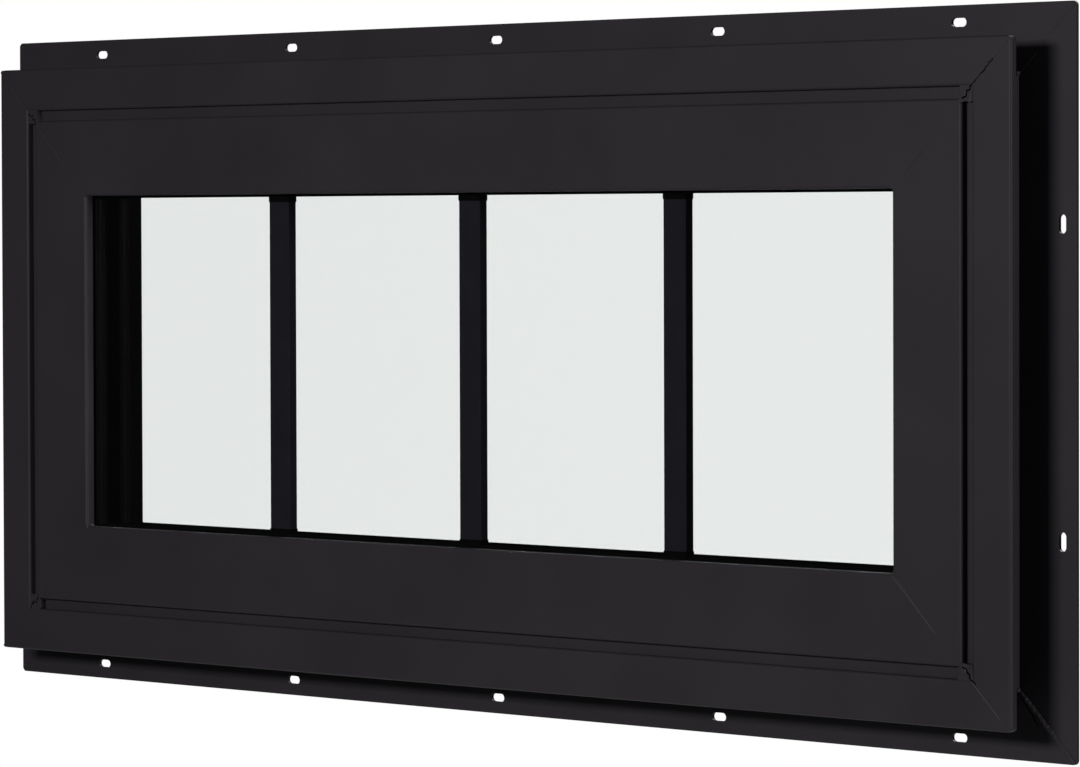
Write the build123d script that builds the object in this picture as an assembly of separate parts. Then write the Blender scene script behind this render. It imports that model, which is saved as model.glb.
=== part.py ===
"""Fixed transom window with a nailing fin, a siding channel and sealed double glazing.

X runs along the window, Y goes into the wall and Z is up, in millimetres. The origin is on the back of
the nailing fin, at the middle of the bottom fin. A section is drawn as inset from the fin's outer edge
against depth, where depth 0 is the fin's back and the street side is negative.
"""
from build123d import *
import os

# Nailing fin
FIN_WIDTH = 635.0
FIN_HEIGHT = 304.8
FIN_THICKNESS = 1.6
FIN_CORNER_RADIUS = 2.0
SLOT_LENGTH = 7.8
SLOT_WIDTH = 3.6
SLOT_INSET = 7.0
LONG_SLOT_PITCH = 129.2
LONG_SLOT_COUNT = 5
SIDE_SLOT_PITCH = 127.0
SIDE_SLOT_COUNT = 2

# Siding channel and front face
BODY_INSET = 28.6
LIP_INSET = 13.9
FACE_PROJECTION = 24.6
LIP_HEM_DEPTH = 4.0
LIP_HEM_WIDTH = 2.4
LIP_CORNER_RADIUS = 2.5
LIP_EDGE_RADIUS = 1.0
HEM_EDGE_RADIUS = 0.8
BAND_WIDTH = 19.7
GROOVE_WIDTH = 5.0
GROOVE_DEPTH = 3.4
GROOVE_EDGE_RADIUS = 1.2
OPENING_INSET = 74.4
OPENING_EDGE_RADIUS = 1.4
SEAM_WIDTH = 1.5
SEAM_DEPTH = 0.2

# Walls of the extrusion
FACE_WALL = 2.2
BODY_WALL = 2.0
REBATE_WALL = 2.6
WEB_THICKNESS = 1.4
CHAMBER_RADIUS = 0.8

# Glazing rebate and the leg that lines the wall opening
STOP_THICKNESS = 4.4
REBATE_HEIGHT = 15.0
FRAME_BACK = 12.2
LINING_BACK = 19.0

# Glazing
TAPE_THICKNESS = 0.8
TAPE_SETBACK = 0.4
TAPE_WIDTH = 8.0
GLASS_THICKNESS = 2.4
GLASS_EDGE_CLEARANCE = 3.0
AIR_GAP = 6.4
SPACER_HEIGHT = 7.0
SPACER_SIGHT_LINE = 1.1

# Glazing bead, which snaps into the frame by a tongue and presses a gasket on the glass
BEAD_WALL = 1.5
BEAD_EDGE_RADIUS = 1.5
BEAD_SIGHT_LINE = 0.4
BEAD_TONGUE_DEPTH = 1.4
BEAD_TONGUE_WIDTH = 2.0
BEAD_TONGUE_SETBACK = 6.0
BEAD_CLEARANCE = 0.2
GASKET_THICKNESS = 2.0
GASKET_WIDTH = 9.0
GASKET_SETBACK = 0.3
GASKET_LIP_RADIUS = 0.9

# Grid bars
BAR_COUNT = 3
BAR_PITCH = 119.8
BAR_WIDTH = 12.7
BAR_DEPTH = 4.8
BAR_EDGE_RADIUS = 0.5
CLIP_HEIGHT = 2.4
CLIP_CLEARANCE = 0.3

# How far a mitre cut runs past the section that it cuts
MITRE_OVERRUN = 5.0

# Places that follow from the sizes above
WINDOW_CENTRE = (FIN_HEIGHT - BODY_INSET) / 2
FIN_FRONT = -FIN_THICKNESS
FACE_FRONT = FIN_FRONT - FACE_PROJECTION
LIP_BACK = FACE_FRONT + FACE_WALL
HEM_BACK = FACE_FRONT + LIP_HEM_DEPTH
HEM_INSET = LIP_INSET + LIP_HEM_WIDTH
GROOVE_INSET = LIP_INSET + BAND_WIDTH
GROOVE_END = GROOVE_INSET + GROOVE_WIDTH
GROOVE_FLOOR = FACE_FRONT + GROOVE_DEPTH
STOP_BACK = FACE_FRONT + STOP_THICKNESS
REBATE_INSET = OPENING_INSET - REBATE_HEIGHT
REBATE_WALL_INSET = REBATE_INSET - REBATE_WALL
BODY_WALL_INSET = BODY_INSET + BODY_WALL
WEB_INSET = GROOVE_END + FACE_WALL
OUTER_PANE_FRONT = STOP_BACK + TAPE_THICKNESS
GAP_FRONT = OUTER_PANE_FRONT + GLASS_THICKNESS
INNER_PANE_FRONT = GAP_FRONT + AIR_GAP
GLAZING_BACK = INNER_PANE_FRONT + GLASS_THICKNESS
BEAD_FRONT = GLAZING_BACK + GASKET_THICKNESS
TONGUE_BACK = FRAME_BACK - BEAD_TONGUE_SETBACK
TONGUE_FRONT = TONGUE_BACK - BEAD_TONGUE_WIDTH
GAP_MIDDLE = (GAP_FRONT + INNER_PANE_FRONT) / 2
GLASS_INSET = REBATE_INSET + GLASS_EDGE_CLEARANCE
BEAD_INNER_INSET = OPENING_INSET + BEAD_SIGHT_LINE
SPACER_INNER_INSET = OPENING_INSET + SPACER_SIGHT_LINE
SPACER_OUTER_INSET = SPACER_INNER_INSET - SPACER_HEIGHT
TAPE_INNER_INSET = OPENING_INSET - TAPE_SETBACK
TAPE_OUTER_INSET = TAPE_INNER_INSET - TAPE_WIDTH


def section(points, rounded=()):
    """A closed section from (inset, depth) points, with (corner, radius) pairs rounded."""
    face = make_face(Polyline(*points, close=True))
    for corner, radius in rounded:
        vertex = face.vertices().sort_by_distance(Vector(corner[0], corner[1], 0))[0]
        face = fillet(vertex, radius)
    return face


def strip(outer_inset, inner_inset, front, back, rounded=()):
    """A rectangular section between two insets and two depths."""
    points = [(outer_inset, front), (inner_inset, front), (inner_inset, back), (outer_inset, back)]
    return section(points, rounded)


def chamber(outer_inset, inner_inset, front, back):
    """The section of a hollow with rounded corners."""
    width = inner_inset - outer_inset
    depth = back - front
    middle = Pos((outer_inset + inner_inset) / 2, (front + back) / 2)
    return middle * RectangleRounded(width, depth, CHAMBER_RADIUS)


def rail(profile, length):
    """A length of a section along X with 45 degree ends, whose inset runs down from Z = 0."""
    start = Plane(origin=(-length / 2, 0, 0), x_dir=(0, 0, -1), z_dir=(1, 0, 0))
    bar = extrude(start * profile, length)
    half = length / 2
    reach = SPACER_INNER_INSET + MITRE_OVERRUN
    wedge = Polyline(
        (-half - MITRE_OVERRUN, MITRE_OVERRUN),
        (half + MITRE_OVERRUN, MITRE_OVERRUN),
        (half - reach, -reach),
        (reach - half, -reach),
        close=True,
    )
    deep = FACE_PROJECTION + LINING_BACK + MITRE_OVERRUN
    return bar & extrude(Plane.XZ * make_face(wedge), deep, both=True)


def on_sides(head, jamb):
    """Sets a head rail and a jamb rail to the four sides of the window."""
    centre = Pos(0, 0, WINDOW_CENTRE)
    return {
        "head": centre * Pos(0, 0, FIN_HEIGHT / 2) * head,
        "sill": centre * Pos(0, 0, -FIN_HEIGHT / 2) * Rot(0, 180, 0) * head,
        "jamb_left": centre * Pos(-FIN_WIDTH / 2, 0, 0) * Rot(0, -90, 0) * jamb,
        "jamb_right": centre * Pos(FIN_WIDTH / 2, 0, 0) * Rot(0, 90, 0) * jamb,
    }


def ring(profile):
    """Four mitred rails of one section."""
    return on_sides(rail(profile, FIN_WIDTH), rail(profile, FIN_HEIGHT))


def plate(inset, front, back, radius=0.0):
    """A plate that lies an inset inside the fin's edge, between two depths."""
    width = FIN_WIDTH - 2 * inset
    height = FIN_HEIGHT - 2 * inset
    outline = RectangleRounded(width, height, radius) if radius else Rectangle(width, height)
    seat = Plane(origin=(0, back, WINDOW_CENTRE), x_dir=(1, 0, 0), z_dir=(0, -1, 0))
    return extrude(seat * outline, back - front)


def frame_section():
    """The extrusion: nailing fin, siding channel, grooved face, glazing stop, chambers and lining leg."""
    slot_front = TONGUE_FRONT - BEAD_CLEARANCE
    slot_back = TONGUE_BACK + BEAD_CLEARANCE
    slot_inset = REBATE_INSET - BEAD_TONGUE_DEPTH - BEAD_CLEARANCE
    points = [
        (0, 0),
        (0, FIN_FRONT),
        (BODY_INSET, FIN_FRONT),
        (BODY_INSET, LIP_BACK),
        (HEM_INSET, LIP_BACK),
        (HEM_INSET, HEM_BACK),
        (LIP_INSET, HEM_BACK),
        (LIP_INSET, FACE_FRONT),
        (GROOVE_INSET, FACE_FRONT),
        (GROOVE_INSET, GROOVE_FLOOR),
        (GROOVE_END, GROOVE_FLOOR),
        (GROOVE_END, FACE_FRONT),
        (OPENING_INSET, FACE_FRONT),
        (OPENING_INSET, STOP_BACK),
        (REBATE_INSET, STOP_BACK),
        (REBATE_INSET, slot_front),
        (slot_inset, slot_front),
        (slot_inset, slot_back),
        (REBATE_INSET, slot_back),
        (REBATE_INSET, FRAME_BACK),
        (BODY_WALL_INSET, FRAME_BACK),
        (BODY_WALL_INSET, LINING_BACK),
        (BODY_INSET, LINING_BACK),
        (BODY_INSET, 0),
    ]
    rounded = [
        ((LIP_INSET, FACE_FRONT), LIP_EDGE_RADIUS),
        ((LIP_INSET, HEM_BACK), HEM_EDGE_RADIUS),
        ((GROOVE_INSET, FACE_FRONT), GROOVE_EDGE_RADIUS),
        ((GROOVE_END, FACE_FRONT), GROOVE_EDGE_RADIUS),
        ((OPENING_INSET, FACE_FRONT), OPENING_EDGE_RADIUS),
    ]
    walls = section(points, rounded)
    walls -= chamber(BODY_WALL_INSET, WEB_INSET, GROOVE_FLOOR + FACE_WALL, FIN_FRONT)
    walls -= chamber(WEB_INSET + WEB_THICKNESS, REBATE_WALL_INSET, LIP_BACK, FIN_FRONT)
    walls -= chamber(BODY_WALL_INSET, REBATE_WALL_INSET, 0, FRAME_BACK - BODY_WALL)
    return walls


def bead_section():
    """A hollow bead with a rounded room-side edge and a tongue for the slot in the frame."""
    points = [
        (REBATE_INSET, BEAD_FRONT),
        (BEAD_INNER_INSET, BEAD_FRONT),
        (BEAD_INNER_INSET, FRAME_BACK),
        (REBATE_INSET, FRAME_BACK),
        (REBATE_INSET, TONGUE_BACK),
        (REBATE_INSET - BEAD_TONGUE_DEPTH, TONGUE_BACK),
        (REBATE_INSET - BEAD_TONGUE_DEPTH, TONGUE_FRONT),
        (REBATE_INSET, TONGUE_FRONT),
    ]
    walls = section(points, [((BEAD_INNER_INSET, FRAME_BACK), BEAD_EDGE_RADIUS)])
    outer, inner = REBATE_INSET + BEAD_WALL, BEAD_INNER_INSET - BEAD_WALL
    return walls - chamber(outer, inner, BEAD_FRONT + BEAD_WALL, FRAME_BACK - BEAD_WALL)


def slots(count, pitch):
    """A row of fixing slots through the fin of a rail."""
    cutters = []
    for k in range(count):
        x = (k - (count - 1) / 2) * pitch
        seat = Plane(origin=(x, 0, -SLOT_INSET), x_dir=(1, 0, 0), z_dir=(0, -1, 0))
        cutters.append(extrude(seat * SlotOverall(SLOT_LENGTH, SLOT_WIDTH), 2 * FIN_THICKNESS, both=True))
    return cutters


def seam_rods():
    """Flat diamond rods along the corner welds, which cut the shallow seams of face and fin."""
    half_width = SEAM_WIDTH / 2
    diamond = section([(-SEAM_DEPTH, 0), (0, half_width), (SEAM_DEPTH, 0), (0, -half_width)])
    rods = []
    for depth, inner in ((FACE_FRONT, OPENING_INSET), (FIN_FRONT, BODY_INSET)):
        for right in (-1, 1):
            for up in (-1, 1):
                start = Vector(right * FIN_WIDTH / 2, depth, WINDOW_CENTRE + up * FIN_HEIGHT / 2)
                along = Vector(-right, 0, -up)
                seat = Plane(origin=start, x_dir=(0, 1, 0), z_dir=along)
                rods.append(extrude(seat * diamond, inner * along.length))
    return rods


def frame_members():
    """Four welded members of the frame, with seams at the welds and rounded corners on fin and lip."""
    profile = frame_section()
    head = rail(profile, FIN_WIDTH) - slots(LONG_SLOT_COUNT, LONG_SLOT_PITCH)
    jamb = rail(profile, FIN_HEIGHT) - slots(SIDE_SLOT_COUNT, SIDE_SLOT_PITCH)
    envelope = plate(LIP_INSET, FACE_FRONT, FIN_FRONT, LIP_CORNER_RADIUS)
    envelope += plate(0, FIN_FRONT, 0, FIN_CORNER_RADIUS)
    envelope += plate(BODY_INSET, 0, LINING_BACK)
    seams = seam_rods()
    return {f"frame_{side}": (member & envelope) - seams for side, member in on_sides(head, jamb).items()}


def glazing():
    """Two panes, the spacer between them, the tape in front, and the gasket and beads behind."""
    nodes = {
        "outer_pane": plate(GLASS_INSET, OUTER_PANE_FRONT, GAP_FRONT),
        "inner_pane": plate(GLASS_INSET, INNER_PANE_FRONT, GLAZING_BACK),
    }
    tape = strip(TAPE_OUTER_INSET, TAPE_INNER_INSET, STOP_BACK, OUTER_PANE_FRONT)
    spacer = strip(SPACER_OUTER_INSET, SPACER_INNER_INSET, GAP_FRONT, INNER_PANE_FRONT)
    gasket_inset = BEAD_INNER_INSET - GASKET_SETBACK
    gasket_lip = ((gasket_inset, BEAD_FRONT), GASKET_LIP_RADIUS)
    gasket = strip(gasket_inset - GASKET_WIDTH, gasket_inset, GLAZING_BACK, BEAD_FRONT, [gasket_lip])
    profiles = {"glazing_tape": tape, "spacer": spacer, "bead_gasket": gasket, "glazing_bead": bead_section()}
    for name, profile in profiles.items():
        for side, piece in ring(profile).items():
            nodes[f"{name}_{side}"] = piece
    return nodes


def grid_bars():
    """Flat bars between the panes, each held to the spacer by an end clip at its top and bottom."""
    half_gap = FIN_HEIGHT / 2 - SPACER_INNER_INSET
    half_bar = half_gap - CLIP_HEIGHT
    bar = extrude(RectangleRounded(BAR_WIDTH, BAR_DEPTH, BAR_EDGE_RADIUS), half_bar, both=True)
    clip = extrude(RectangleRounded(BAR_WIDTH, AIR_GAP - 2 * CLIP_CLEARANCE, BAR_EDGE_RADIUS), CLIP_HEIGHT)
    nodes = {}
    for k in range(BAR_COUNT):
        x = (k - (BAR_COUNT - 1) / 2) * BAR_PITCH
        seat = Pos(x, GAP_MIDDLE, WINDOW_CENTRE)
        nodes[f"grid_bar_{k + 1}"] = seat * bar
        nodes[f"grid_clip_{k + 1}_top"] = seat * Pos(0, 0, half_bar) * clip
        nodes[f"grid_clip_{k + 1}_bottom"] = seat * Pos(0, 0, -half_gap) * clip
    return nodes


os.makedirs("parts", exist_ok=True)
for name, shape in (frame_members() | glazing() | grid_bars()).items():
    export_step(shape, f"parts/{name}.step")
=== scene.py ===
"""The looks of a fixed transom window: finishes, corner welds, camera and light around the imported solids."""
import math
import random

import bmesh
import bpy
from mathutils import Matrix, Vector


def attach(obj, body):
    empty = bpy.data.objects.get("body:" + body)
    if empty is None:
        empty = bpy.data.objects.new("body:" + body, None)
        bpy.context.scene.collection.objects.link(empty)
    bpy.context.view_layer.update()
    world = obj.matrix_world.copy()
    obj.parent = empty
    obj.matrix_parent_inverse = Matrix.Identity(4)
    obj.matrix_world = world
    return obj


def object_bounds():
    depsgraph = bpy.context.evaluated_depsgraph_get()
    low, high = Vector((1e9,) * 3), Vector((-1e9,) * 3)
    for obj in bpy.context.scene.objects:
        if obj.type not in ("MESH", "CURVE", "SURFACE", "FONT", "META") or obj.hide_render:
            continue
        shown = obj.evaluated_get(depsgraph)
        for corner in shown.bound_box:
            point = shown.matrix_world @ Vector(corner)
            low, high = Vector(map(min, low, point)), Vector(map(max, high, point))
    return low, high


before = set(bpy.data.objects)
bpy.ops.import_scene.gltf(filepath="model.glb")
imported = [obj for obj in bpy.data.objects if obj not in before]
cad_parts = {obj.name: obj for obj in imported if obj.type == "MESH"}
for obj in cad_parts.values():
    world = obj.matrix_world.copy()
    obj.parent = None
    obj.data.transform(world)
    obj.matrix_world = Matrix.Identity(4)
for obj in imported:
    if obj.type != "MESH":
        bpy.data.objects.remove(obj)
CAD_LOW, CAD_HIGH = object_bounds()

# The frame's own places, in millimetres: depths along Y, and insets from the fin's outer edge
MM = 0.001
CENTRE_Z = (CAD_LOW.z + CAD_HIGH.z) / 2
HALF_HEIGHT = (CAD_HIGH.z - CAD_LOW.z) / 2
FACE_FRONT = -26.2
FIN_FRONT = -1.6
GROOVE_FLOOR = -22.8
LIP_EDGE = 14.5
BODY_WALL = 28.6
GROOVE_OUTER = 33.6
GROOVE_INNER = 38.6
OPENING = 74.4

# Camera at the photograph's place and angle, in metres, degrees and millimetres of lens
CAMERA_PLACE = (1.4909, -1.5803, 0.2023)
CAMERA_AZIMUTH = 42.855
CAMERA_ELEVATION = 1.238
CAMERA_ROLL = -0.172
CAMERA_LENS = 163.83
CAMERA_SENSOR = 36.0
CAMERA_SHIFT = -0.0495
CAMERA_REACH = 100.0

# Lamps: place and size in metres, power in watts
LAMPS = {
    "key_light": ((0.10, -1.50, 0.45), (0.48, 0.22), 20.0),
    "side_light": ((3.0, -0.14, 0.42), (0.15, 0.3), 50.0),
    "back_light": ((0.0, 2.0, 1.3), (0.7, 0.7), 40.0),
}

# World: the even light on the object, and how much of the white shows in mirrors
AMBIENT = 0.1
MIRRORED = 0.01

# Floor, in metres; it glows toward white between the two distances of its fade
FLOOR_DROP = 0.3
FLOOR_RADIUS = 1.6
FLOOR_SIDES = 96
FLOOR_FADE = (0.5, 1.5)
FLOOR_GLOW = 0.75
FLOOR_GREY = 0.85
FLOOR_BOUNCE = 0.1
FLOOR_ROUGHNESS = 0.8
FLOOR_SPECULAR = 0.1

# Noise: the span of its values, its usual detail and the detail of fine grain
NOISE_SPAN = (0.3, 0.7)
SOFT_DETAIL = 3.0
FINE_DETAIL = 2.0
NOISE_ROUGHNESS = 0.5

# Black vinyl: colours, gloss, noise scales per metre and relief in metres
PLASTIC_IOR = 1.45
VINYL_DARK = (0.0182, 0.0160, 0.0193)
VINYL_LIGHT = (0.0210, 0.0185, 0.0221)
VINYL_ROUGHNESS = (0.46, 0.54)
VINYL_SPECULAR = 0.12
VINYL_MOTTLING = 18.0
VINYL_GRAIN = 2600.0
VINYL_RELIEF = 0.000012
LINES_ACROSS = 900.0
LINES_ALONG = 3.0

# Matte finishes: a dark and a light colour, and the roughness
RUBBER = ((0.002, 0.002, 0.002), (0.003, 0.003, 0.003), 0.7)
SPACER = ((0.002, 0.002, 0.002), (0.003, 0.003, 0.003), 0.6)
# The beads' colour is painted shade: they are the frame's black vinyl, made far darker so that they stay black
# behind the glass
BEAD_PAINTED_SHADE = ((0.0010, 0.0009, 0.0010), (0.0014, 0.0013, 0.0014), 0.55)
GRID_BAR = ((0.0115, 0.0108, 0.0150), (0.0135, 0.0127, 0.0175), 0.45)
GRID_CLIP = ((0.0015, 0.0015, 0.0015), (0.002, 0.002, 0.002), 0.6)
CUT_SHADOW = ((0.001, 0.001, 0.001), (0.002, 0.002, 0.002), 0.8)
MATTE_MOTTLING = 60.0
MATTE_GRAIN = 1800.0
MATTE_RELIEF = 0.00002
MATTE_SPREAD = 0.05

# Clear glass: its own colour, and the colour of the lamps' light that it lets through
GLASS_COLOUR = (0.975, 0.99, 0.985, 1)
GLASS_SHADOW = (0.9, 0.92, 0.915, 1)
GLASS_IOR = 1.5

# Corner welds, all in millimetres: where each corner lies, as right or left and top or bottom
CORNERS = {
    "top_left": (-1, 1),
    "top_right": (1, 1),
    "bottom_left": (-1, -1),
    "bottom_right": (1, -1),
}
# Ridges on the fin: the insets of both ends, then width and height
FIN_RIDGES = {
    "top_left": [((1.0, 1.0), (28.4, 28.4), 1.6, 0.04)],
    "top_right": [((1.0, 1.0), (20.0, 20.0), 1.6, 0.03), ((20.0, 20.0), (28.4, 28.4), 1.2, 0.12)],
    "bottom_left": [((1.0, 1.0), (28.4, 28.4), 1.6, 0.2)],
    "bottom_right": [((0.8, 0.8), (28.4, 28.4), 1.8, 1.3), ((18.9, 13.8), (27.9, 25.6), 0.7, 0.6)],
}
# Stretches of the face's seams that the weld fills: the insets of both ends and the depth left open
FILLED = {
    "top_left": [(LIP_EDGE, 22.0, 0.01), (62.0, OPENING, 0.01)],
    "top_right": [
        (LIP_EDGE, GROOVE_OUTER, 0.09),
        (GROOVE_INNER, 57.0, 0.01),
        (57.0, 69.0, 0.1),
        (69.0, OPENING, 0.01),
    ],
    "bottom_left": [(LIP_EDGE, GROOVE_OUTER, 0.01), (46.0, OPENING, 0.01)],
    "bottom_right": [
        (LIP_EDGE, 19.0, 0.01),
        (19.0, GROOVE_OUTER, 0.08),
        (GROOVE_INNER, 52.0, 0.01),
        (52.0, OPENING, 0.09),
    ],
}
FILLER_WIDTH = 1.55
FILLER_DEPTH = 0.4
# Burrs in the face's seams, by the insets of both ends, with their depth, width and height
BURRS = {
    "top_left": [((GROOVE_INNER, GROOVE_INNER), (60.0, 60.0)), ((24.0, 24.0), (33.4, 33.4))],
    "top_right": [((24.0, 24.4), (33.4, 33.0))],
    "bottom_left": [((GROOVE_INNER, GROOVE_INNER), (46.0, 46.0))],
    "bottom_right": [((62.0, 62.0), (74.0, 74.0))],
}
BURR_DEPTH = 0.2
BURR_WIDTH = 0.7
BURR_HEIGHT = 0.19
# Painted shadow in the seams' cuts, as thin near-black strips: the insets of both ends, how far they wander
# and half their width
CUTS = {
    "top_right": (23.0, 33.7),
    "bottom_right": (31.8, 33.7),
}
CUT_STEP = 0.8
CUT_WANDER = 0.22
CUT_HALF_WIDTH = (0.08, 0.24)
CUT_BASE = 0.3
CUT_TOP = 0.012
# How a ridge is built: its steps, its foot below the surface, its shoulders and its narrow ends
RIDGE_STEP = 0.7
RIDGE_LEAST_STEPS = 4
RIDGE_FOOT = 0.1
RIDGE_SHOULDER = 0.75
RIDGE_END = 0.25
RIDGE_SWELL = 5
RIDGE_WIDTHS = (0.7, 1.2)
RIDGE_HEIGHTS = (0.7, 1.0)
RIDGE_SHIFT = 0.5
# The two plates that plug the groove's corner, and the jagged crack between them
PLUG_MARGIN = 0.2
PLUG_REACH = (0.6, 2.2)
PLUG_RIM_STEPS = 5
PLUG_RIM_JAG = 0.5
PLUG_BASE = 0.1
PLUG_TOP = 0.05
PLUG_UNEVENNESS = 0.3
CRACK_STEPS = 7
CRACK_JAG = 0.8
CRACK_WIDTH = 0.55
# Lumps of weld at the body wall and at the opening: inset, depth and radii
WALL_LUMP = (BODY_WALL - 0.2, FIN_FRONT - 1.0, (1.0, 1.4, 1.2))
OPENING_LUMP = (OPENING + 0.4, FACE_FRONT + 2.6, (0.9, 2.0, 0.9))
LUMP_SWELL = (0.85, 1.0)
LUMP_SUBDIVISIONS = 2
# Seeds of the random draws, one for each corner
WELD_SEED = 20
CUT_SEED = 40


def new_material(name):
    """An empty node material: the material, its node tree and its output node."""
    material = bpy.data.materials.new(name)
    material.use_nodes = True
    tree = material.node_tree
    tree.nodes.clear()
    output = tree.nodes.new("ShaderNodeOutputMaterial")
    return material, tree, output


def principled(tree, **values):
    """A Principled shader with the given sockets set."""
    shader = tree.nodes.new("ShaderNodeBsdfPrincipled")
    for name, value in values.items():
        shader.inputs[name.replace("_", " ")].default_value = value
    return shader


def noise(tree, scale, detail):
    """A noise value over the object's own coordinates, multiplied along each axis."""
    place = tree.nodes.new("ShaderNodeTexCoord")
    mapping = tree.nodes.new("ShaderNodeMapping")
    mapping.inputs["Scale"].default_value = scale
    tree.links.new(place.outputs["Object"], mapping.inputs["Vector"])
    node = tree.nodes.new("ShaderNodeTexNoise")
    node.inputs["Scale"].default_value = 1.0
    node.inputs["Detail"].default_value = detail
    node.inputs["Roughness"].default_value = NOISE_ROUGHNESS
    tree.links.new(mapping.outputs["Vector"], node.inputs["Vector"])
    return node.outputs["Fac"]


def tint(tree, value, low, high):
    """A colour between two colours by a noise value."""
    ramp = tree.nodes.new("ShaderNodeValToRGB")
    for element, position, colour in zip(ramp.color_ramp.elements, NOISE_SPAN, (low, high)):
        element.position = position
        element.color = (*colour, 1)
    tree.links.new(value, ramp.inputs["Fac"])
    return ramp.outputs["Color"]


def bump(tree, height, distance, normal=None):
    """A bump of a height value, in metres of relief."""
    node = tree.nodes.new("ShaderNodeBump")
    node.inputs["Distance"].default_value = distance
    tree.links.new(height, node.inputs["Height"])
    if normal is not None:
        tree.links.new(normal, node.inputs["Normal"])
    return node.outputs["Normal"]


def math_node(tree, operation, first, second):
    """A Math node of two values or outputs."""
    node = tree.nodes.new("ShaderNodeMath")
    node.operation = operation
    for socket, value in zip(node.inputs, (first, second)):
        if isinstance(value, (int, float)):
            socket.default_value = value
        else:
            tree.links.new(value, socket)
    return node.outputs["Value"]


def ramp_between(tree, value, value_range, result_range):
    """Maps a value from one range onto another, clamped."""
    node = tree.nodes.new("ShaderNodeMapRange")
    node.inputs["From Min"].default_value, node.inputs["From Max"].default_value = value_range
    node.inputs["To Min"].default_value, node.inputs["To Max"].default_value = result_range
    tree.links.new(value, node.inputs["Value"])
    return node.outputs["Result"]


def mix_shaders(tree, factor, first, second):
    """A mix of two shaders by a factor, all given as outputs."""
    mix = tree.nodes.new("ShaderNodeMixShader")
    tree.links.new(factor, mix.inputs["Fac"])
    tree.links.new(first, mix.inputs[1])
    tree.links.new(second, mix.inputs[2])
    return mix.outputs["Shader"]


def looked_at(tree):
    """The Light Path node, and 1 for rays that come from the camera by mirrors and glass alone."""
    path = tree.nodes.new("ShaderNodeLightPath")
    seen = math_node(tree, "MAXIMUM", path.outputs["Is Camera Ray"], path.outputs["Is Transmission Ray"])
    seen = math_node(tree, "MAXIMUM", seen, path.outputs["Is Glossy Ray"])
    scattered = math_node(tree, "MINIMUM", path.outputs["Diffuse Depth"], 1.0)
    return path, math_node(tree, "MULTIPLY", seen, math_node(tree, "SUBTRACT", 1.0, scattered))


def vinyl(name, along):
    """Satin black vinyl: faint drawing lines along the extrusion, soft mottling and a fine grain."""
    material, tree, output = new_material(name)
    lines_scale = [LINES_ACROSS] * 3
    lines_scale["XYZ".index(along)] = LINES_ALONG
    mottling = noise(tree, (VINYL_MOTTLING,) * 3, SOFT_DETAIL)
    lines = noise(tree, lines_scale, FINE_DETAIL)
    grain = noise(tree, (VINYL_GRAIN,) * 3, FINE_DETAIL)
    middle = sum(VINYL_ROUGHNESS) / 2
    shader = principled(tree, Roughness=middle, IOR=PLASTIC_IOR, Specular_IOR_Level=VINYL_SPECULAR)
    tree.links.new(tint(tree, mottling, VINYL_DARK, VINYL_LIGHT), shader.inputs["Base Color"])
    roughness = ramp_between(tree, mottling, NOISE_SPAN, VINYL_ROUGHNESS)
    tree.links.new(roughness, shader.inputs["Roughness"])
    relief = bump(tree, lines, VINYL_RELIEF)
    tree.links.new(bump(tree, grain, VINYL_RELIEF, relief), shader.inputs["Normal"])
    tree.links.new(shader.outputs["BSDF"], output.inputs["Surface"])
    return material


def matte(name, dark, light, roughness):
    """A matte material with a fine grain."""
    material, tree, output = new_material(name)
    shader = principled(tree, Roughness=roughness, IOR=PLASTIC_IOR, Specular_IOR_Level=0.0)
    mottling = noise(tree, (MATTE_MOTTLING,) * 3, SOFT_DETAIL)
    grain = noise(tree, (MATTE_GRAIN,) * 3, FINE_DETAIL)
    tree.links.new(tint(tree, mottling, dark, light), shader.inputs["Base Color"])
    spread = (roughness - MATTE_SPREAD, roughness + MATTE_SPREAD)
    tree.links.new(ramp_between(tree, mottling, NOISE_SPAN, spread), shader.inputs["Roughness"])
    tree.links.new(bump(tree, grain, MATTE_RELIEF), shader.inputs["Normal"])
    tree.links.new(shader.outputs["BSDF"], output.inputs["Surface"])
    return material


def glass(name):
    """Clear float glass that lets the lamps' light through."""
    material, tree, output = new_material(name)
    shader = principled(tree, Base_Color=GLASS_COLOUR, Roughness=0.0, IOR=GLASS_IOR, Transmission_Weight=1.0)
    clear = tree.nodes.new("ShaderNodeBsdfTransparent")
    clear.inputs["Color"].default_value = GLASS_SHADOW
    path = tree.nodes.new("ShaderNodeLightPath")
    scattered = math_node(tree, "MINIMUM", path.outputs["Diffuse Depth"], 1.0)
    plain = math_node(tree, "MAXIMUM", path.outputs["Is Shadow Ray"], scattered)
    surface = mix_shaders(tree, plain, shader.outputs["BSDF"], clear.outputs["BSDF"])
    tree.links.new(surface, output.inputs["Surface"])
    return material


def dress_nodes():
    """Gives every CAD node its finish, by the first words of the node's name."""
    along_x = vinyl("black_vinyl_along_x", "X")
    along_z = vinyl("black_vinyl_along_z", "Z")
    clear = glass("clear_float_glass")
    rubber = matte("black_rubber", *RUBBER)
    finish = {
        "frame_jamb": along_z,
        "frame": along_x,
        # The beads take the painted-shade colour, far darker than the frame's vinyl
        "glazing_bead": matte("bead_vinyl_painted_shade", *BEAD_PAINTED_SHADE),
        "glazing_tape": rubber,
        "bead_gasket": rubber,
        "spacer": matte("black_spacer", *SPACER),
        "grid_bar": matte("grid_bar_finish", *GRID_BAR),
        "grid_clip": matte("grid_clip_plastic", *GRID_CLIP),
        "outer_pane": clear,
        "inner_pane": clear,
    }
    for node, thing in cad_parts.items():
        kind = next(words for words in finish if node.startswith(words))
        for slot in thing.material_slots:
            slot.material = finish[kind]


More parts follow.
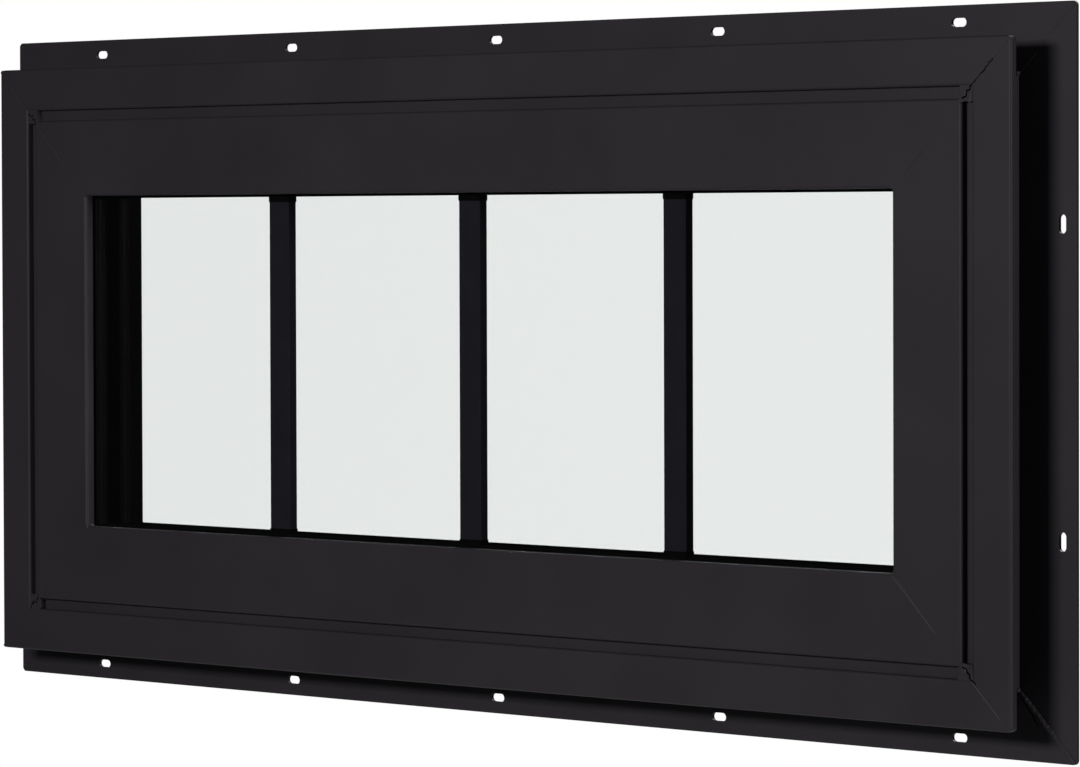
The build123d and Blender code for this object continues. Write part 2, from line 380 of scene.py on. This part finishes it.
def add_camera():
    """The photograph's camera."""
    data = bpy.data.cameras.new("photo_camera")
    data.sensor_width = CAMERA_SENSOR
    data.lens = CAMERA_LENS
    data.shift_y = CAMERA_SHIFT
    data.clip_end = CAMERA_REACH
    camera = bpy.data.objects.new("photo_camera", data)
    turn = Matrix.Rotation(math.radians(CAMERA_AZIMUTH), 4, "Z")
    tilt = Matrix.Rotation(math.radians(90.0 - CAMERA_ELEVATION), 4, "X")
    roll = Matrix.Rotation(math.radians(CAMERA_ROLL), 4, "Z")
    camera.matrix_world = Matrix.Translation(CAMERA_PLACE) @ turn @ tilt @ roll
    bpy.context.scene.collection.objects.link(camera)
    bpy.context.scene.camera = camera


def add_lamp(name, place, size, power):
    """A rectangular lamp aimed at the window's centre."""
    data = bpy.data.lights.new(name, "AREA")
    data.shape = "RECTANGLE"
    data.size, data.size_y = size
    data.energy = power
    lamp = bpy.data.objects.new(name, data)
    lamp.location = place
    toward = (CAD_LOW + CAD_HIGH) / 2 - Vector(place)
    lamp.rotation_euler = toward.to_track_quat("-Z", "Y").to_euler()
    bpy.context.scene.collection.objects.link(lamp)


def add_world():
    """White where it is seen or looked at through glass, dim where it is mirrored, and a low even light."""
    world = bpy.data.worlds.new("studio")
    bpy.context.scene.world = world
    world.use_nodes = True
    tree = world.node_tree
    tree.nodes.clear()
    output = tree.nodes.new("ShaderNodeOutputWorld")
    back = tree.nodes.new("ShaderNodeBackground")
    back.inputs["Color"].default_value = (1, 1, 1, 1)
    path, seen = looked_at(tree)
    clear = ramp_between(tree, path.outputs["Glossy Depth"], (0.0, 1.0), (1.0, MIRRORED))
    bright = math_node(tree, "MULTIPLY", seen, clear)
    ambient = math_node(tree, "MULTIPLY", math_node(tree, "SUBTRACT", 1.0, seen), AMBIENT)
    tree.links.new(math_node(tree, "ADD", bright, ambient), back.inputs["Strength"])
    tree.links.new(back.outputs["Background"], output.inputs["Surface"])


def floor_material():
    """Pale where it takes the shadow, white further out, a low bounce, and dark far out in mirrors."""
    material, tree, output = new_material("pale_floor")
    place = tree.nodes.new("ShaderNodeTexCoord")
    length = tree.nodes.new("ShaderNodeVectorMath")
    length.operation = "LENGTH"
    tree.links.new(place.outputs["Object"], length.inputs[0])
    distance = length.outputs["Value"]
    path, seen = looked_at(tree)
    lit = principled(tree, Roughness=FLOOR_ROUGHNESS, Specular_IOR_Level=FLOOR_SPECULAR)
    grey = ramp_between(tree, path.outputs["Diffuse Depth"], (0.0, 1.0), (FLOOR_GREY, FLOOR_BOUNCE))
    tree.links.new(grey, lit.inputs["Base Color"])
    white = tree.nodes.new("ShaderNodeEmission")
    dark = tree.nodes.new("ShaderNodeEmission")
    dark.inputs["Strength"].default_value = 0.0
    mirrored = math_node(tree, "MINIMUM", path.outputs["Glossy Depth"], 1.0)
    direct = math_node(tree, "MULTIPLY", seen, math_node(tree, "SUBTRACT", 1.0, mirrored))
    glow = math_node(tree, "MULTIPLY", direct, ramp_between(tree, distance, FLOOR_FADE, (FLOOR_GLOW, 1.0)))
    far = math_node(tree, "MULTIPLY", mirrored, ramp_between(tree, distance, FLOOR_FADE, (0.0, 1.0)))
    shown = mix_shaders(tree, glow, lit.outputs["BSDF"], white.outputs["Emission"])
    surface = mix_shaders(tree, far, shown, dark.outputs["Emission"])
    tree.links.new(surface, output.inputs["Surface"])
    return material


def add_floor():
    """A pale floor below the window, which hangs by its fin."""
    mesh = bpy.data.meshes.new("floor")
    build = bmesh.new()
    bmesh.ops.create_circle(build, cap_ends=True, segments=FLOOR_SIDES, radius=FLOOR_RADIUS)
    build.to_mesh(mesh)
    build.free()
    mesh.materials.append(floor_material())
    floor = bpy.data.objects.new("floor", mesh)
    floor.location.z = CAD_LOW.z - FLOOR_DROP
    bpy.context.scene.collection.objects.link(floor)


def corner_point(corner, insets, depth):
    """A point at a corner, from its two insets from the fin's edges and its depth in millimetres."""
    right, top = corner
    across, up = insets
    return Vector((right * (CAD_HIGH.x - across * MM), depth * MM, CENTRE_Z + top * (HALF_HEIGHT - up * MM)))


def join_rings(build, near, far):
    """Faces between two rings with the same number of points."""
    for index in range(len(near)):
        following = (index + 1) % len(near)
        build.faces.new((near[index], near[following], far[following], far[index]))


def add_block(build, corner, outline, base, tops):
    """A block over an outline of insets, from one base depth to a top depth for each point."""
    low = [build.verts.new(corner_point(corner, place, base)) for place in outline]
    high = [build.verts.new(corner_point(corner, place, top)) for place, top in zip(outline, tops)]
    build.faces.new(low)
    build.faces.new(high)
    join_rings(build, low, high)


def add_ridge(build, corner, ends, surface, width, height, chance):
    """An uneven ridge of weld between two places on a surface, lower and thinner at its ends."""
    start, end = Vector(ends[0]), Vector(ends[1])
    run = end - start
    sideways = Vector((-run.y, run.x)).normalized()
    steps = max(RIDGE_LEAST_STEPS, round(run.length / RIDGE_STEP))
    rings = []
    for step in range(steps + 1):
        share = step / steps
        taper = min(1.0, RIDGE_END + RIDGE_SWELL * min(share, 1 - share))
        half = width / 2 * taper * chance.uniform(*RIDGE_WIDTHS)
        rise = height * taper * chance.uniform(*RIDGE_HEIGHTS)
        shift = half * chance.uniform(-RIDGE_SHIFT, RIDGE_SHIFT)
        profile = [
            (-half, -RIDGE_FOOT),
            (-half / 2 + shift, rise * RIDGE_SHOULDER),
            (shift, rise),
            (half / 2 + shift, rise * RIDGE_SHOULDER),
            (half, -RIDGE_FOOT),
        ]
        ring = []
        for side, lift in profile:
            place = start + run * share + sideways * side
            ring.append(build.verts.new(corner_point(corner, place, surface - lift)))
        rings.append(ring)
    for near, far in zip(rings, rings[1:]):
        join_rings(build, near, far)
    build.faces.new(rings[0])
    build.faces.new(rings[-1])


def add_filler(build, corner, near, far, left_open):
    """A flat strip that fills a stretch of the face's seam, but for the depth left open."""
    side = FILLER_WIDTH / 2 / math.sqrt(2)
    outline = [
        (near + side, near - side),
        (far + side, far - side),
        (far - side, far + side),
        (near - side, near + side),
    ]
    tops = [FACE_FRONT + left_open] * len(outline)
    add_block(build, corner, outline, FACE_FRONT + FILLER_DEPTH, tops)


def add_groove_plug(build, corner, chance):
    """Two plates of weld that fill the groove's corner, with a jagged crack between them."""
    outer = GROOVE_OUTER - PLUG_MARGIN
    inner = GROOVE_INNER + PLUG_MARGIN
    crack = []
    for step in range(CRACK_STEPS + 1):
        middle = outer + (inner - outer) * step / CRACK_STEPS
        jag = 0.0 if step in (0, CRACK_STEPS) else chance.uniform(-CRACK_JAG, CRACK_JAG)
        crack.append((middle + jag, middle - jag))
    for flip in (False, True):
        reach = chance.uniform(*PLUG_REACH)
        rim = []
        for step in range(PLUG_RIM_STEPS + 1):
            along = inner - (inner - outer) * step / PLUG_RIM_STEPS
            rim.append((along, inner + reach + chance.uniform(-PLUG_RIM_JAG, PLUG_RIM_JAG)))
        if flip:
            rim = [(up, across) for across, up in rim]
        shift = CRACK_WIDTH / 2 * (1 if flip else -1)
        edge = [(across + shift, up - shift) for across, up in crack]
        outline = edge + rim
        tops = [FACE_FRONT + PLUG_TOP + chance.uniform(0.0, PLUG_UNEVENNESS) for place in outline]
        add_block(build, corner, outline, GROOVE_FLOOR + PLUG_BASE, tops)


def add_lump(build, corner, inset, depth, radii, chance):
    """A small uneven lump of weld on the corner's diagonal."""
    made = bmesh.ops.create_icosphere(build, subdivisions=LUMP_SUBDIVISIONS, radius=1.0)
    centre = corner_point(corner, (inset, inset), depth)
    for vert in made["verts"]:
        swell = chance.uniform(*LUMP_SWELL)
        vert.co = centre + Vector([vert.co[axis] * radii[axis] * swell * MM for axis in range(3)])


def add_piece(build, name, material):
    """Makes the built mesh a piece that rides on the frame."""
    bmesh.ops.recalc_face_normals(build, faces=build.faces)
    mesh = bpy.data.meshes.new(name)
    build.to_mesh(mesh)
    build.free()
    mesh.materials.append(material)
    piece = bpy.data.objects.new(name, mesh)
    bpy.context.scene.collection.objects.link(piece)
    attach(piece, "root")


def add_welds(material):
    """The uneven welds at the corners: ridges on the fin, burrs on the face and plugs in the groove."""
    for number, (name, corner) in enumerate(CORNERS.items()):
        chance = random.Random(WELD_SEED + number)
        build = bmesh.new()
        for start, end, width, height in FIN_RIDGES[name]:
            add_ridge(build, corner, (start, end), FIN_FRONT, width, height, chance)
        for near, far, left_open in FILLED[name]:
            add_filler(build, corner, near, far, left_open)
        add_groove_plug(build, corner, chance)
        add_lump(build, corner, *WALL_LUMP, chance)
        add_lump(build, corner, *OPENING_LUMP, chance)
        for ends in BURRS[name]:
            add_ridge(build, corner, ends, FACE_FRONT + BURR_DEPTH, BURR_WIDTH, BURR_HEIGHT, chance)
        add_piece(build, "weld_" + name, material)


def add_weld_cut_shadows(material):
    """Thin near-black strips of painted shadow that stand for the shade in the jagged cuts the weld's trimming
    left in the seams.
    """
    for number, (name, (near, far)) in enumerate(CUTS.items()):
        chance = random.Random(CUT_SEED + number)
        build = bmesh.new()
        left = []
        right = []
        steps = round((far - near) / CUT_STEP)
        for step in range(steps + 1):
            middle = near + (far - near) * step / steps
            wander = chance.uniform(-CUT_WANDER, CUT_WANDER)
            half = chance.uniform(*CUT_HALF_WIDTH)
            left.append((middle + wander + half, middle - wander - half))
            right.append((middle + wander - half, middle - wander + half))
        outline = left + right[::-1]
        tops = [FACE_FRONT + CUT_TOP] * len(outline)
        add_block(build, CORNERS[name], outline, FACE_FRONT + CUT_BASE, tops)
        add_piece(build, "weld_cut_" + name, material)


bpy.context.scene.view_settings.view_transform = "Standard"
dress_nodes()
add_camera()
add_world()
add_floor()
add_welds(vinyl("weld_vinyl", "X"))
# The cut strips' near-black colour is painted shadow
add_weld_cut_shadows(matte("weld_cut_shadow", *CUT_SHADOW))
for lamp_name, settings in LAMPS.items():
    add_lamp(lamp_name, *settings)

bpy.context.view_layer.update()
